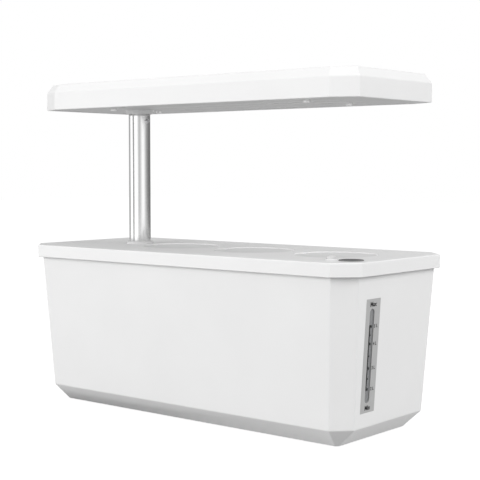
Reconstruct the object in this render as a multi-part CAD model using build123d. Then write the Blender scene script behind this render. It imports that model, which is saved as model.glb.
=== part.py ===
from build123d import *
import math
import os

os.makedirs("parts", exist_ok=True)

# An indoor herb planter: a long water tub, a lid with three planting wells, and a grow lamp
# on a telescopic pole at the left end. All lengths are in millimetres.
# The origin is the middle of the footprint on the table, with X along the tub to the right,
# Y to the back and Z up. The lamp is drawn at its lowest and the float on the bottom of its run.

# Tub: a tapered moulding with cut corners and a steep chamfer band round its foot
tub_length = 392.0
tub_width = 157.0
tub_height = 157.0
tub_corner_cut = 17.5
tub_draft = 9.0
band_height = 17.0
band_corner_cut = 15.5
band_inset_end = 17.4
band_inset_side = 15.6
base_corner_cut = 2.4
tub_wall = 2.5
tub_floor = 3.0

# Rubber feet in shallow pockets
foot_radius = 8.0
foot_proud = 0.8
foot_pocket = 1.0
foot_inset = 16.0

# Water gauge on the right-hand end
gauge_width = 21.3
gauge_thickness = 0.8
gauge_bottom = 29.8
gauge_top_gap = 29.0
gauge_from_front = 41.9
slot_offset = 1.2
slot_end_margin = 8.35
slot_width = 7.0
window_flange = 4.0
window_flange_thickness = 1.6
gasket_thickness = 0.6
guide_wall = 1.4
guide_depth = 11.0
float_height = 16.0
float_clearance = 0.4
guide_screw_radius = 1.25
guide_tab = 7.0
guide_boss_radius = 3.0

# Clearances used throughout
fit_gap = 0.1
seat_gap = 0.2
body_gap = 0.35
overrun = 1.0

# Lid: plate with a skirt that hangs over the tub
lid_overhang = 4.0
lid_plate = 3.1
lid_skirt_drop = 9.2
lid_skirt_wall = 2.4
lid_corner_cut = 19.5
lid_edge_radius = 1.3
lid_rib = 1.8
lid_rib_drop = 6.0
lid_rib_gap = 1.0

# Planting wells, their baskets and covers
well_from_side = 40.5
well_depth = 4.6
well_web = 18.0
well_end_margin = 70.0
well_from_nut = 1.1
well_ledge = 7.5
basket_taper = 7.5
basket_depth = 60.0
basket_wall = 1.5
basket_flange = 1.5
basket_slot_count = 12
basket_slot_width = 5.0
basket_slot_top = 24.0
basket_slot_bottom = 6.0
basket_floor_slots = 6
basket_floor_slot_width = 4.0
sponge_height = 30.0
sponge_top_drop = 3.0
cover_edge = 2.3
cover_dish = 1.5
cover_skin = 1.4
cover_notch = 5.5
cover_rib_drop = 3.0

# Fill port in the right front corner, lined with a soft ring that grips the lid's plate
fill_radius = 9.8
fill_from_end = 20.0
fill_from_front = 32.5
fill_ring_wall = 1.2
fill_ring_lip = 1.0
fill_ring_lip_height = 0.8

# Control button, its trim ring and the sealed box under the lid
button_radius = 4.0
button_rise = 4.0
button_dome = 1.2
button_travel = 1.2
button_from_fill = 18.6
button_forward = 2.0
button_flange = 1.2
bezel_wall = 1.2
bezel_rise = 0.9
box_length = 45.0
box_from_rib = 3.2
box_depth = 13.0
box_wall = 1.6
box_right = 7.4
box_back = 9.0
board_thickness = 1.6
board_gap = 0.6
board_stand = 1.6
switch_size = 6.0
switch_height = 3.0
switch_tip_radius = 1.5
switch_tip_height = 1.0
screw_radius = 1.3
screw_head_radius = 2.5
screw_head_height = 1.4
screw_inset = 3.4

# Pole, its socket and the height lock
pole_from_end = 83.0
pole_radius = 11.0
pole_wall = 1.2
pole_rise = 131.0
pole_depth = 40.0
socket_wall = 1.6
socket_flange_radius = 14.0
socket_flange_rise = 2.6
socket_floor = 2.5
socket_lead_hole = 4.0
nut_height = 5.0
nut_wall = 3.6
nut_notch = 4.0
nut_notch_count = 6
bush_length = 20.0
bush_flange = 1.4
inner_pole_radius = 9.0
inner_pole_wall = 1.0
inner_pole_reach = 124.0
inner_pole_stub = 11.0
lamp_lift = 90.0
pole_foot_plug = 8.0
pole_foot_flange = 2.5
pole_foot_bore = 3.0
lock_screw_radius = 1.5
lock_screw_drop = 5.4
lock_screw_head_radius = 2.2
lock_screw_head_height = 1.2
lock_screw_hex_radius = 1.0
lock_slot_gap = 0.3

# Lamp: a long shell with a bevelled top, closed below by a flat panel
lamp_end_gap = 7.0
lamp_side_gap = 13.5
lamp_side_height = 17.5
lamp_bevel_height = 8.3
lamp_bevel_inset = 5.6
lamp_cut_long = 24.0
lamp_cut_short = 11.0
lamp_wall = 2.2
panel_thickness = 1.5
panel_recess = 0.5
boss_drop = 4.2
boss_top_radius = 14.5
boss_low_radius = 12.8
boss_spigot_wall = 2.6
boss_spigot_rise = 8.0
boss_nut_radius = 16.0
boss_nut_height = 4.0
panel_screw_from_end = 72.5
panel_screw_head_radius = 3.0
panel_screw_head_height = 1.5
panel_screw_shank_radius = 1.5
shell_post_radius = 4.0

# Light board above four long windows in the panel
light_row_pitch = 33.0
light_pitch = 21.0
light_from_pole = 29.5
light_end_margin = 45.0
light_side_margin = 14.0
light_size = 3.0
light_height = 0.8
light_window_width = 7.0
light_board_margin = 7.0
light_board_thickness = 1.6
lens_flange = 1.6
lens_flange_thickness = 0.8

# Power unit and inlet inside the lamp
driver_length = 34.0
driver_width = 62.0
driver_height = 9.0
driver_from_pole = 30.5
inlet_from_driver = 6.0
inlet_radius = 4.4
inlet_bore = 2.9
inlet_pin_radius = 0.9
inlet_depth = 12.0
inlet_flange_radius = 6.0
inlet_flange_thickness = 1.0
inlet_floor = 2.0
inlet_nut_radius = 6.6
inlet_nut_length = 2.6

# Submersible pump on a stand pipe below the lid
pump_from_box = 24.0
pipe_from_well = 3.2
pipe_turn = 48.4
pump_length = 40.0
pump_width = 30.0
pump_height = 32.0
pump_floor_gap = 2.5
pump_wall = 2.0
pump_corner = 4.0
rotor_radius = 9.5
rotor_hub_radius = 4.0
rotor_length = 14.0
rotor_vane = 1.6
rotor_vane_count = 6
rotor_end_gap = 0.8
shaft_radius = 1.2
cap_thickness = 2.0
cap_slot_count = 5
cap_slot_width = 2.2
pipe_radius = 5.0
pipe_bore = 3.4
pipe_boss_wall = 2.0
pipe_boss_drop = 10.0
pipe_seat = 4.0
pipe_outlet_radius = 2.0
pipe_outlet_drop = 5.0
lead_radius = 2.0
lead_bend = 9.0
lead_from_pipe = 11.0
lead_from_edge = 4.0
lead_box_drop = 6.0
clip_height = 4.0
clip_wall = 1.8
clip_end_share = 0.25

# Leads: coiled in the pole so that the lamp can rise, then along the lid to the control box
wire_radius = 1.3
wire_bend = 5.0
coil_radius = 6.6
coil_pitch = 4.3
coil_tail = 5.0
loop_drop = 8.0
loop_out = 24.0
lid_run_from_rib = 16.0
hook_count = 3
hook_length = 6.0
unit_entry = 13.0
light_wire_out = 22.0
light_wire_radius = 1.0
light_wire_rise = 3.0

# Heights that follow from the sizes above
lid_under = tub_height + seat_gap
lid_top = lid_under + lid_plate
skirt_low = lid_under - lid_skirt_drop
well_seat = lid_top - well_depth
well_floor_low = well_seat - tub_wall
pole_top = lid_top + pole_rise
bush_top = pole_top + bush_flange
boss_low = bush_top + body_gap
lamp_low = boss_low + boss_drop - panel_recess
panel_low = lamp_low + panel_recess
panel_high = panel_low + panel_thickness
lamp_bevel_low = lamp_low + lamp_side_height
lamp_high = lamp_bevel_low + lamp_bevel_height
lamp_ceiling = lamp_high - lamp_wall

# Gauge, wells and lamp that follow from the sizes above
gauge_length = tub_height - gauge_bottom - gauge_top_gap
slot_length = gauge_length - 2 * slot_end_margin
well_radius = tub_width / 2 - well_from_side
basket_top_radius = well_radius - well_ledge
basket_bottom_radius = basket_top_radius - basket_taper
well_pitch = 2 * well_radius + well_web
lamp_length = tub_length + 2 * (lid_overhang - lamp_end_gap)
lamp_width = tub_width + 2 * (lid_overhang - lamp_side_gap)
panel_screw_x = lamp_length / 2 - panel_screw_from_end
panel_screw_y = light_row_pitch

# Radii and depths that follow from the sizes above
socket_radius = pole_radius + fit_gap + socket_wall
fill_ring_radius = fill_radius + fill_ring_lip
bezel_radius = button_radius + 2 * fit_gap + bezel_wall
pole_low = lid_top - pole_depth
socket_low = pole_low - seat_gap - socket_floor
pole_bore = pole_radius - pole_wall
boss_bore = inner_pole_radius + fit_gap
spigot_radius = boss_bore + boss_spigot_wall
lock_z = pole_top - lock_screw_drop
box_top = lid_under - bezel_wall
box_low = box_top - box_depth
board_low = box_low + box_wall + board_stand
board_high = board_low + board_thickness
switch_high = board_high + switch_height + switch_tip_height

# Plan places that follow from the sizes above
lid_half_length = tub_length / 2 + lid_overhang
lid_half_width = tub_width / 2 + lid_overhang
pole_x = pole_from_end - lid_half_length
nut_radius = socket_radius + fit_gap + nut_wall
first_well_x = pole_x + nut_radius + well_from_nut + tub_wall + well_radius
well_count = 1 + int((lid_half_length - well_end_margin - first_well_x) / well_pitch)
fill_x = lid_half_length - fill_from_end
fill_y = fill_from_front - lid_half_width
button_x = fill_x - button_from_fill
button_y = fill_y - button_forward
box_right_x = button_x + box_right
box_left_x = box_right_x - box_length
box_back_y = button_y + box_back
box_front_y = tub_wall + lid_rib_gap + lid_rib + box_from_rib - tub_width / 2
box_middle_x = box_right_x - box_length / 2
box_middle_y = (box_front_y + box_back_y) / 2
last_well_x = first_well_x + well_pitch * (well_count - 1)
pipe_boss_radius = pipe_radius + fit_gap + pipe_boss_wall
pipe_reach = well_radius + tub_wall + pipe_from_well + pipe_boss_radius
pipe_x = min(last_well_x - pipe_reach * math.cos(math.radians(pipe_turn)), box_left_x - pump_from_box)
pipe_y = -pipe_reach * math.sin(math.radians(pipe_turn))
lead_x = pipe_x + lead_from_pipe
lead_y = pipe_y - pump_width / 2 + lead_from_edge
lead_high = box_top - lead_box_drop

# Pump and rotor, standing just above the tub's floor
pump_low = foot_proud + tub_floor + pump_floor_gap
pump_high = pump_low + pump_height
chamber_radius = rotor_radius + rotor_end_gap
chamber_half = rotor_length / 2 + rotor_end_gap
pump_left = pipe_x - chamber_half
pump_right = pump_left + pump_length
pump_front = pipe_y - pump_width / 2
pump_back = pipe_y + pump_width / 2
rotor_z = pump_low + pump_wall + chamber_radius
shaft_end = pipe_x + chamber_half + pump_wall

# Leads in the pole and under the lid
foot_low = pole_top - inner_pole_reach
coil_low = socket_low + socket_floor + seat_gap + coil_tail
coil_high = foot_low - pole_foot_flange - coil_tail
coil_turns = int((coil_high - coil_low) / coil_pitch)
lid_run_y = lid_rib_gap + tub_wall + lid_rib + lid_run_from_rib - tub_width / 2
unit_right = pole_x - driver_from_pole
unit_left = unit_right - driver_length
unit_high = panel_high + driver_height

# Rows of lights and the power inlet
light_first_x = pole_x + light_from_pole
light_columns = 1 + int((lamp_length / 2 - light_end_margin - light_first_x) / light_pitch)
light_rows = 2 * int((lamp_width / 2 - light_side_margin) / light_row_pitch + 1 / 2)
light_middle_x = light_first_x + light_pitch * (light_columns - 1) / 2
light_row_length = light_pitch * (light_columns - 1) + light_window_width
light_low = panel_high + lens_flange_thickness + seat_gap
light_board_low = light_low + light_height
light_board_high = light_board_low + light_board_thickness
light_board_left = light_middle_x - light_row_length / 2 - light_board_margin
inlet_x = unit_right - inlet_from_driver
inlet_z = lamp_low + lamp_side_height / 2
inlet_face = lamp_width / 2


def half_length_at(height):
    """Half the tub's outside length at a height above the band."""
    rise_share = (height - band_height) / (tub_height - band_height)
    return tub_length / 2 - tub_draft * (1 - rise_share)


def half_width_at(height):
    """Half the tub's outside width at a height above the band."""
    rise_share = (height - band_height) / (tub_height - band_height)
    return tub_width / 2 - tub_draft * (1 - rise_share)


def octagon(half_length, half_width, full_cut_x, full_cut_y, inset, height):
    """A rectangle with its four corners cut, moved inwards by an inset, as a face at a height."""
    half_length = half_length - inset
    half_width = half_width - inset
    cut_area = full_cut_x * full_cut_y
    cut_drop = inset * (full_cut_x + full_cut_y - math.hypot(full_cut_x, full_cut_y))
    shrink_share = 1 - cut_drop / cut_area
    cut_x = full_cut_x * shrink_share
    cut_y = full_cut_y * shrink_share
    corners = [
        (cut_x - half_length, -half_width),
        (half_length - cut_x, -half_width),
        (half_length, cut_y - half_width),
        (half_length, half_width - cut_y),
        (half_length - cut_x, half_width),
        (cut_x - half_length, half_width),
        (-half_length, half_width - cut_y),
        (-half_length, cut_y - half_width),
    ]
    return Pos(0, 0, height) * make_face(Polyline(corners, close=True))


def post(radius, low, high, x=0.0, y=0.0):
    """An upright round bar between two heights."""
    base = (Align.CENTER, Align.CENTER, Align.MIN)
    return Pos(x, y, low) * Cylinder(radius, high - low, align=base)


def hole(radius, low, high, x=0.0, y=0.0):
    """An upright round cutter that runs past both heights."""
    return post(radius, low - overrun, high + overrun, x, y)


def cone(low_radius, high_radius, low, high, x=0.0, y=0.0):
    """An upright cone between two heights."""
    base = (Align.CENTER, Align.CENTER, Align.MIN)
    return Pos(x, y, low) * Cone(low_radius, high_radius, high - low, align=base)


def bar_x(radius, x_low, x_high, y, z):
    """A round bar along X."""
    base = (Align.CENTER, Align.CENTER, Align.MIN)
    return Pos(x_low, y, z) * Rot(0, 90, 0) * Cylinder(radius, x_high - x_low, align=base)


def bar_y(radius, y_low, y_high, x, z):
    """A round bar along Y."""
    base = (Align.CENTER, Align.CENTER, Align.MIN)
    return Pos(x, y_low, z) * Rot(-90, 0, 0) * Cylinder(radius, y_high - y_low, align=base)


def block(x_low, x_high, y_low, y_high, z_low, z_high):
    """A box between two corners."""
    corner = (Align.MIN, Align.MIN, Align.MIN)
    size = Box(x_high - x_low, y_high - y_low, z_high - z_low, align=corner)
    return Pos(x_low, y_low, z_low) * size


def well_x(index):
    """Place along the lid of a planting well, counted from the pole."""
    return first_well_x + well_pitch * index


def tub_outline(inset, low):
    """The tub's outside moved inwards, from a height at its foot to its top edge."""
    foot_share = (low - foot_proud) / (band_height - foot_proud)
    foot_length = tub_length / 2 - tub_draft - band_inset_end * (1 - foot_share)
    foot_width = tub_width / 2 - tub_draft - band_inset_side * (1 - foot_share)
    foot_cut = base_corner_cut + (band_corner_cut - base_corner_cut) * foot_share
    band_length = tub_length / 2 - tub_draft
    band_width = tub_width / 2 - tub_draft
    slope = math.hypot(band_inset_side, band_height) / band_height
    foot = octagon(foot_length, foot_width, foot_cut, foot_cut, inset * slope, low)
    band = octagon(band_length, band_width, band_corner_cut, band_corner_cut, inset, band_height)
    top = octagon(tub_length / 2, tub_width / 2, tub_corner_cut, tub_corner_cut, inset, tub_height)
    return loft([foot, band], ruled=True) + loft([band, top], ruled=True)


# The end wall leans, so the gauge is drawn on a plane that leans with it, centred on its slot:
# its X runs to the back, its Y up the wall and its Z outwards.
gauge_middle = gauge_bottom + gauge_length / 2
wall_lean = tub_draft / (tub_height - band_height)
gauge_plane = Plane(
    origin=(half_length_at(gauge_middle), gauge_from_front - slot_offset - tub_width / 2, gauge_middle),
    x_dir=(0, 1, 0),
    z_dir=(1, 0, -wall_lean),
)
window_low = -tub_wall - gasket_thickness - window_flange_thickness
guide_low = window_low - guide_depth
guide_inner = slot_width / 2 + window_flange - guide_wall
float_half_width = guide_inner - float_clearance
guide_half_length = slot_length / 2 + window_flange - guide_wall
float_start = seat_gap + float_height / 2 - guide_half_length


def on_gauge(shape):
    """Moves a shape drawn on the gauge's own axes onto the end wall."""
    return gauge_plane.location * shape


def gauge_block(half_width, half_length, low, high):
    """A box centred on the gauge, with its depth along the wall's outward direction."""
    return block(-half_width, half_width, -half_length, half_length, low, high)


def gauge_slot(width, length, low, high):
    """A round-ended slot centred on the gauge."""
    outline = Rot(0, 0, 90) * SlotOverall(length, width)
    return Pos(0, 0, low) * extrude(outline, high - low)


def foot_places():
    """Places of the four rubber feet."""
    x = tub_length / 2 - tub_draft - band_inset_end - foot_inset
    y = tub_width / 2 - tub_draft - band_inset_side - foot_inset
    return [(-x, -y), (x, -y), (x, y), (-x, y)]


def make_tub():
    shell = tub_outline(0, foot_proud) - tub_outline(tub_wall, foot_proud + tub_floor)
    half_width = gauge_width / 2 + fit_gap
    half_length = gauge_length / 2 + fit_gap
    pocket = Pos(slot_offset, 0, 0) * gauge_block(half_width, half_length, -gauge_thickness, tub_wall)
    slot = gauge_slot(slot_width, slot_length, -tub_wall - overrun, overrun)
    shell -= on_gauge(pocket) + on_gauge(slot)
    for x, y in guide_screw_places():
        shell += on_gauge(post(guide_boss_radius, window_low, -tub_wall / 2 - gauge_thickness, x, y))
        shell -= on_gauge(post(guide_screw_radius + fit_gap, window_low - overrun, -tub_wall, x, y))
    for x, y in foot_places():
        shell -= post(foot_radius + fit_gap, 0, foot_proud + foot_pocket, x, y)
    return shell


def guide_screw_places():
    """Places on the gauge of the two screws that hold the float guide."""
    reach = slot_length / 2 + window_flange + guide_tab / 2
    return [(0, -reach), (0, reach)]


def make_feet():
    feet = []
    for x, y in foot_places():
        pad = post(foot_radius, 0, foot_proud + foot_pocket, x, y)
        feet.append(chamfer(pad.edges().group_by(Axis.Z)[0], foot_proud / 2))
    return Compound(children=feet)


def make_gauge_plate():
    plate = gauge_block(gauge_width / 2, gauge_length / 2, -gauge_thickness, 0)
    plate = Pos(slot_offset, 0, 0) * plate
    return on_gauge(plate - gauge_slot(slot_width, slot_length, -tub_wall, overrun))


def make_gauge_window():
    plug = gauge_slot(
        slot_width - 2 * fit_gap,
        slot_length - 2 * fit_gap,
        -tub_wall - gasket_thickness,
        -gauge_thickness,
    )
    flange = gauge_block(
        slot_width / 2 + window_flange,
        slot_length / 2 + window_flange,
        window_low,
        -tub_wall - gasket_thickness,
    )
    return on_gauge(plug + flange)


def make_gauge_gasket():
    ring = gauge_block(
        slot_width / 2 + window_flange,
        slot_length / 2 + window_flange,
        -tub_wall - gasket_thickness,
        -tub_wall,
    )
    return on_gauge(ring - gauge_slot(slot_width, slot_length, -tub_wall - overrun, 0))


def make_float_guide():
    half_width = slot_width / 2 + window_flange + guide_wall
    half_length = slot_length / 2 + window_flange
    shell = gauge_block(half_width, half_length, guide_low, -tub_wall)
    shell += gauge_block(half_width, half_length + guide_tab, window_low - guide_wall, window_low)
    seat = gauge_block(
        slot_width / 2 + window_flange + fit_gap,
        half_length + fit_gap,
        window_low,
        overrun,
    )
    channel = gauge_block(guide_inner, guide_half_length, guide_low + guide_wall, overrun)
    vent = gauge_slot(slot_width / 2, slot_length, guide_low - overrun, overrun)
    shell -= seat + channel + vent
    for x, y in guide_screw_places():
        shell -= post(guide_screw_radius + fit_gap, guide_low, overrun, x, y)
    return on_gauge(shell)


def make_guide_screws():
    screws = []
    head_face = window_low - guide_wall
    for x, y in guide_screw_places():
        screw = post(screw_head_radius, head_face - screw_head_height, head_face, x, y)
        screw += post(guide_screw_radius, head_face, -tub_wall - fit_gap, x, y)
        screws.append(on_gauge(screw))
    return Compound(children=screws)


def make_level_float():
    low = guide_low + guide_wall + float_clearance
    high = window_low - float_clearance
    float_shape = gauge_block(float_half_width, float_height / 2, low, high)
    upright = float_shape.edges().filter_by(Axis.Y)
    float_shape = chamfer(upright, guide_wall)
    groove = gauge_block(float_half_width + overrun, guide_wall, high - guide_wall / 2, high + overrun)
    return on_gauge(Pos(0, float_start, 0) * (float_shape - groove))


def lid_outline(inset, low, high):
    """The lid's plan moved inwards, between two heights."""
    face = octagon(lid_half_length, lid_half_width, lid_corner_cut, lid_corner_cut, inset, low)
    return extrude(face, high - low)


def lid_rib_ring():
    """The rib under the lid that drops just inside the tub's wall."""
    low = lid_under - lid_rib_drop
    length = half_length_at(low)
    width = half_width_at(low)
    inset = tub_wall + lid_rib_gap
    outer = octagon(length, width, tub_corner_cut, tub_corner_cut, inset, low)
    inner = octagon(length, width, tub_corner_cut, tub_corner_cut, inset + lid_rib, low)
    return extrude(outer - inner, lid_under - low)


def make_lid():
    lid = lid_outline(0, skirt_low, lid_top)
    lid = fillet(lid.faces().sort_by(Axis.Z)[-1].edges(), lid_edge_radius)
    lid -= lid_outline(lid_skirt_wall, skirt_low, lid_under)
    lid += lid_rib_ring()
    for index in range(well_count):
        lid += post(well_radius + tub_wall, well_floor_low, lid_under, well_x(index))
    for index in range(well_count):
        x = well_x(index)
        lid -= post(well_radius, well_seat, lid_top + overrun, x)
        lid -= post(basket_top_radius + body_gap, well_floor_low - overrun, well_seat, x)
    mouth = lid.faces().filter_by(Axis.Z).sort_by(Axis.Z)[-1].edges().filter_by(GeomType.CIRCLE)
    lid = chamfer(mouth, lid_edge_radius / 2)
    lid -= post(fill_ring_radius + seat_gap, skirt_low, lid_under, fill_x, fill_y)
    lid -= hole(fill_radius, lid_under, lid_top, fill_x, fill_y)
    lid -= hole(socket_radius + fit_gap, lid_under, lid_top, pole_x)
    lid -= hole(bezel_radius + fit_gap, lid_under, lid_top, button_x, button_y)
    boss_low_end = lid_under - pipe_boss_drop
    lid += post(pipe_boss_radius, boss_low_end, lid_under, pipe_x, pipe_y)
    lid -= post(pipe_radius + fit_gap, boss_low_end - overrun, lid_under, pipe_x, pipe_y)
    for index in range(hook_count):
        middle = pole_x + (pipe_x - pole_x) * (index + 1) / (hook_count + 1)
        lid += make_hook(middle)
    return lid


def make_fill_ring():
    grip = fill_radius - fit_gap
    low = lid_under - fill_ring_lip_height
    high = lid_top + fill_ring_lip_height
    ring = post(grip, low, high, fill_x, fill_y)
    ring += post(fill_ring_radius, lid_top, high, fill_x, fill_y)
    ring += post(fill_ring_radius, low, lid_under, fill_x, fill_y)
    ring -= hole(grip - fill_ring_wall, low, high, fill_x, fill_y)
    rims = ring.edges().group_by(Axis.Z)[-1].sort_by(SortBy.RADIUS)
    return chamfer(rims[-1], fill_ring_lip_height / 2)


def make_hook(middle):
    """An eye under the lid that holds the lead to the control box."""
    half = hook_length / 2
    reach = wire_radius + fit_gap + clip_wall
    eye = block(middle - half, middle + half, -reach, reach, lead_high - reach, lid_under)
    eye = Pos(0, lid_run_y, 0) * eye
    left = middle - half - overrun
    right = middle + half + overrun
    return eye - bar_x(wire_radius + fit_gap, left, right, lid_run_y, lead_high)


def make_basket(index):
    x = well_x(index)
    low = well_seat + basket_flange - basket_depth
    outer = post(well_radius - body_gap, well_seat, well_seat + basket_flange, x)
    outer += cone(basket_bottom_radius, basket_top_radius, low, well_seat, x)
    inner = cone(
        basket_bottom_radius - basket_wall,
        basket_top_radius - basket_wall,
        low + basket_wall,
        well_seat,
        x,
    )
    inner += post(basket_top_radius - basket_wall, well_seat, well_seat + basket_flange, x)
    basket = outer - inner
    slot_low = low + basket_slot_bottom
    slot_high = well_seat - basket_slot_top
    reach = basket_top_radius + overrun
    for step in range(basket_slot_count):
        slot = block(0, reach, -basket_slot_width / 2, basket_slot_width / 2, slot_low, slot_high)
        slot -= post(basket_bottom_radius / 2, slot_low, slot_high)
        basket -= Pos(x, 0, 0) * Rot(0, 0, 360 * step / basket_slot_count) * slot
    floor_reach = basket_bottom_radius - basket_wall * 2
    for step in range(basket_floor_slots):
        slot = block(
            basket_floor_slot_width,
            floor_reach,
            -basket_floor_slot_width / 2,
            basket_floor_slot_width / 2,
            low - overrun,
            low + basket_wall + overrun,
        )
        basket -= Pos(x, 0, 0) * Rot(0, 0, 360 * step / basket_floor_slots) * slot
    return basket


def basket_radius_inside(height):
    """Inside radius of a basket at a height."""
    low = well_seat + basket_flange - basket_depth
    rise_share = (height - low) / (well_seat - low)
    outside = basket_bottom_radius + (basket_top_radius - basket_bottom_radius) * rise_share
    return outside - basket_wall


def make_sponge(index):
    high = well_seat - sponge_top_drop
    low = high - sponge_height
    low_radius = basket_radius_inside(low) - seat_gap
    high_radius = basket_radius_inside(high) - seat_gap
    sponge = cone(low_radius, high_radius, low, high, well_x(index))
    return sponge - post(screw_radius * 2, high - sponge_height / 3, high + overrun, well_x(index))


def make_cover(index):
    """A shallow dished cover with a finger notch at its left edge, turned about its own middle."""
    low = well_seat + basket_flange
    radius = well_radius - body_gap
    stiffener = basket_top_radius - basket_wall - body_gap
    rim_radius = radius - cover_skin
    dish_low = low + cover_edge - cover_dish
    profile = make_face(
        Polyline(
            [
                (0, low - cover_skin / 2),
                (stiffener - cover_skin, low - cover_skin / 2),
                (stiffener - cover_skin, low - cover_rib_drop),
                (stiffener, low - cover_rib_drop),
                (stiffener, low),
                (radius, low),
                (radius, low + cover_edge - cover_skin / 3),
                (radius - cover_skin / 3, low + cover_edge),
                (rim_radius, low + cover_edge),
                (rim_radius / 2, dish_low + cover_dish / 4),
                (0, dish_low),
            ],
            close=True,
        )
    )
    cover = revolve(Plane.XZ * profile, Axis.Z)
    cover -= post(cover_notch, low - overrun, low + cover_edge + overrun, -radius)
    return Pos(well_x(index), 0, 0) * cover


def make_bezel():
    high = lid_top + bezel_rise
    ring = post(bezel_radius, lid_under - bezel_wall, high, button_x, button_y)
    ring += post(bezel_radius + bezel_wall, lid_under - bezel_wall, lid_under, button_x, button_y)
    ring -= hole(button_radius + 2 * fit_gap, lid_under - bezel_wall, high, button_x, button_y)
    return chamfer(ring.edges().group_by(Axis.Z)[-1], bezel_rise / 3)


def make_button():
    high = lid_top + button_rise
    straight = high - button_dome
    cap = post(button_radius, lid_under - bezel_wall, straight, button_x, button_y)
    dome_face = make_face(
        [
            Line((0, straight), (button_radius, straight)),
            ThreePointArc(
                (button_radius, straight),
                (button_radius * math.sqrt(3) / 2, straight + button_dome / 2),
                (0, high),
            ),
            Line((0, high), (0, straight)),
        ]
    )
    cap += Pos(button_x, button_y, 0) * revolve(Plane.XZ * dome_face, Axis.Z)
    flange_high = lid_under - bezel_wall - seat_gap
    flange_low = flange_high - button_flange
    cap += post(button_radius + button_flange, flange_low, flange_high, button_x, button_y)
    cap += post(button_radius, flange_low, lid_under, button_x, button_y)
    stem_low = switch_high + button_travel + seat_gap
    cap += post(button_radius / 2, stem_low, flange_high, button_x, button_y)
    return cap


def box_screw_places():
    """Places of the three screws that hold the control box."""
    return [
        (box_left_x + screw_inset, box_front_y + screw_inset),
        (box_right_x - screw_inset, box_front_y + screw_inset),
        (box_middle_x, box_back_y - screw_inset),
    ]


def make_control_box():
    outer = block(box_left_x, box_right_x, box_front_y, box_back_y, box_low, box_top)
    outer = fillet(outer.edges().filter_by(Axis.Z), box_wall)
    room = block(
        box_left_x + box_wall,
        box_right_x - box_wall,
        box_front_y + box_wall,
        box_back_y - box_wall,
        box_low + box_wall,
        box_top + overrun,
    )
    for x, y in box_screw_places():
        room -= post(screw_inset, box_low, box_top + overrun, x, y)
    box = outer - room
    for x, y in box_screw_places():
        box -= hole(screw_radius + fit_gap, box_low, box_top, x, y)
    inner_x = box_left_x + box_wall
    box -= bar_x(lead_radius + fit_gap, box_left_x - overrun, inner_x + overrun, lead_y, lead_high)
    return box - bar_x(wire_radius + fit_gap, box_left_x - overrun, inner_x + overrun, lid_run_y, lead_high)


def make_control_cover():
    cover = block(box_left_x, box_right_x, box_front_y, box_back_y, box_top, lid_under)
    cover = fillet(cover.edges().filter_by(Axis.Z), box_wall)
    cover -= hole(bezel_radius + bezel_wall + fit_gap, box_top, lid_under, button_x, button_y)
    for x, y in box_screw_places():
        cover -= hole(screw_radius + fit_gap, box_top, lid_under, x, y)
    return cover


def make_control_screws():
    screws = []
    for x, y in box_screw_places():
        head = post(screw_head_radius, box_low - screw_head_height, box_low, x, y)
        screws.append(head + post(screw_radius, box_low, lid_under - fit_gap, x, y))
    return Compound(children=screws)


def make_control_board():
    edge = box_wall + board_gap
    board = block(
        box_left_x + edge,
        box_right_x - edge,
        box_front_y + edge,
        box_back_y - edge,
        board_low,
        board_high,
    )
    for x in (box_left_x + edge + screw_inset * 2, box_right_x - edge - screw_inset * 2):
        board += post(board_stand / 2, box_low + box_wall, board_low, x, box_middle_y)
    for x, y in box_screw_places():
        board -= post(screw_inset + board_gap, box_low, board_high + overrun, x, y)
    half = switch_size / 2
    base = board_high + switch_height
    switch = block(-half, half, -half, half, board_high, base)
    board += Pos(button_x, button_y, 0) * switch
    board += post(switch_tip_radius, base, switch_high, button_x, button_y)
    return board


def make_pole_socket():
    socket = post(socket_radius, socket_low, lid_top + socket_flange_rise, pole_x)
    collar = post(socket_flange_radius, lid_top, lid_top + socket_flange_rise, pole_x)
    collar = chamfer(collar.edges().group_by(Axis.Z)[-1], socket_flange_rise / 3)
    socket += collar
    rim = lid_top + socket_flange_rise
    socket -= post(pole_radius + fit_gap, pole_low - seat_gap, rim + overrun, pole_x)
    return socket - hole(socket_lead_hole, socket_low, pole_low, pole_x)


def make_socket_nut():
    low = lid_under - nut_height
    nut = post(nut_radius, low, lid_under, pole_x) - hole(socket_radius + fit_gap, low, lid_under, pole_x)
    half = nut_notch / 2
    cut_low = low - overrun
    cut_high = lid_under + overrun
    for step in range(nut_notch_count):
        notch = block(nut_radius - nut_wall / 2, nut_radius + overrun, -half, half, cut_low, cut_high)
        nut -= Pos(pole_x, 0, 0) * Rot(0, 0, 360 * step / nut_notch_count) * notch
    return nut


def make_outer_pole():
    tube = post(pole_radius, pole_low, pole_top, pole_x) - hole(pole_bore, pole_low, pole_top, pole_x)
    return tube - lock_hole()


def lock_hole():
    """The hole for the lock screw, through one wall of the pole."""
    return bar_x(lock_screw_radius + fit_gap, pole_x, pole_x + pole_radius + overrun, 0, lock_z)


def make_pole_bush():
    bush = post(pole_bore - fit_gap, pole_top - bush_length, bush_top, pole_x)
    bush += post(pole_radius, pole_top, bush_top, pole_x)
    return bush - hole(boss_bore, pole_top - bush_length, bush_top, pole_x) - lock_hole()


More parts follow.
